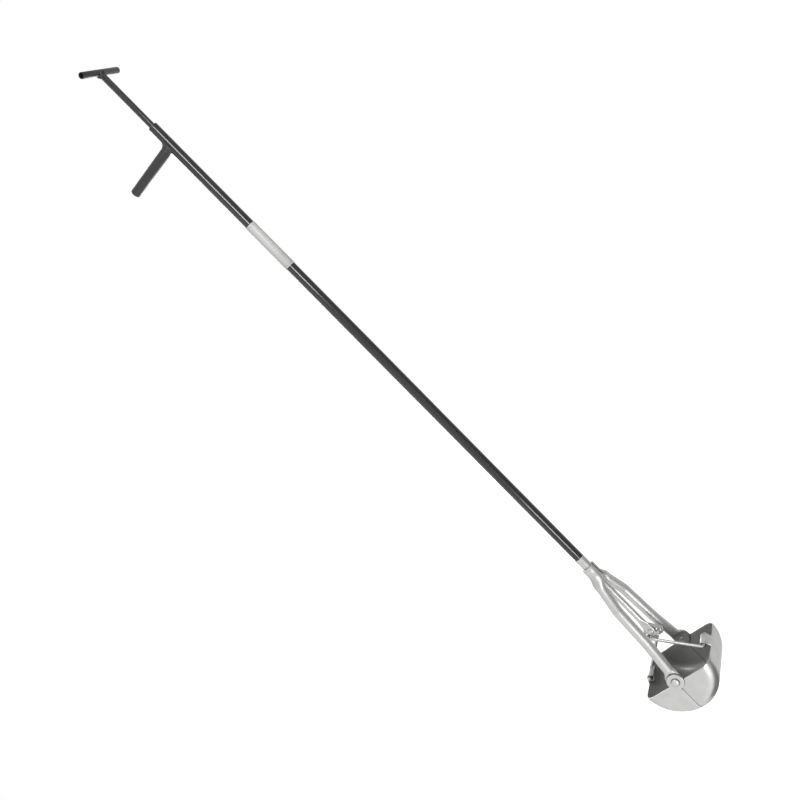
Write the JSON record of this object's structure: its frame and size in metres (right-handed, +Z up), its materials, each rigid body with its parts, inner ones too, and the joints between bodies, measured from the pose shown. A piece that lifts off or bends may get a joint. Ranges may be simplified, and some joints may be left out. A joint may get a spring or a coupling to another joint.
{
  "type": "post hole scoop",
  "caption": "Long handled clamshell scoop: a T-bar rod slides in a tube with a side handle and, through a crosshead and bent links, opens and closes pressed steel bowl halves on a fork.",
  "frame": {"origin": "on the main tube's axis, level with the side handle's axis, where a hand holds the tool", "axes": "+Z up the main tube towards the T-bar, with the bowl at the lower end. +Y along the T-bar and the bowl's pivots. The side handle points along -X. The bowl halves open along X, and the model is closed, with the rod pushed down"},
  "size_m": [0.2657, 0.2042, 2.0943],
  "materials": {
    "black_paint": "gloss black paint or powder coat",
    "zinc_plate": "bright zinc plated steel, lightly marked",
    "guide_bush": "pale grey moulded guide bush",
    "label": "silver grey label, left bare"
  },
  "bodies": {
    "shaft": {"main_tube": "black_paint", "top_bush": "black_paint", "lower_bush": "guide_bush", "side_handle": "black_paint", "side_handle_cap": "black_paint", "side_handle_weld": "black_paint", "label_band": "label", "fork_stem": "zinc_plate", "front_arm": "zinc_plate", "rear_arm": "zinc_plate", "front_pivot_rivet": "zinc_plate", "rear_pivot_rivet": "zinc_plate"},
    "rod": {"upper_rod": "black_paint", "lower_rod": "zinc_plate", "t_bar": "black_paint", "t_bar_weld": "black_paint", "crosshead": "zinc_plate", "crosshead_rivet": "zinc_plate"},
    "right_jaw": {"right_bowl": "zinc_plate"},
    "left_jaw": {"left_bowl": "zinc_plate"},
    "right_link": {"right_link": "zinc_plate"},
    "left_link": {"left_link": "zinc_plate"}
  },
  "joints": [
    {"name": "rod_slide", "type": "slide", "parent": "shaft", "child": "rod", "axis": [0, 0, 1], "range_m": [0, 0.073]},
    {"name": "right_jaw_hinge", "type": "hinge", "parent": "shaft", "child": "right_jaw", "pos_m": [0, 0, -1.749], "axis": [0, -1, 0], "range_deg": [0, 38.4]},
    {"name": "left_jaw_hinge", "type": "hinge", "parent": "shaft", "child": "left_jaw", "pos_m": [0, 0, -1.749], "axis": [0, 1, 0], "range_deg": [0, 38.4]},
    {"name": "right_link_hinge", "type": "hinge", "parent": "rod", "child": "right_link", "pos_m": [-0.0155, 0, -1.659], "axis": [0, 1, 0], "range_deg": [0, 13.4]},
    {"name": "left_link_hinge", "type": "hinge", "parent": "rod", "child": "left_link", "pos_m": [0.0155, 0, -1.659], "axis": [0, -1, 0], "range_deg": [0, 13.4]}
  ],
  "couplings": [
    {"joint": "right_jaw_hinge", "follows": "rod_slide", "rad_per_m": 9.18},
    {"joint": "left_jaw_hinge", "follows": "rod_slide", "rad_per_m": 9.18},
    {"joint": "right_link_hinge", "follows": "rod_slide", "rad_per_m": 3.2},
    {"joint": "left_link_hinge", "follows": "rod_slide", "rad_per_m": 3.2}
  ]
}
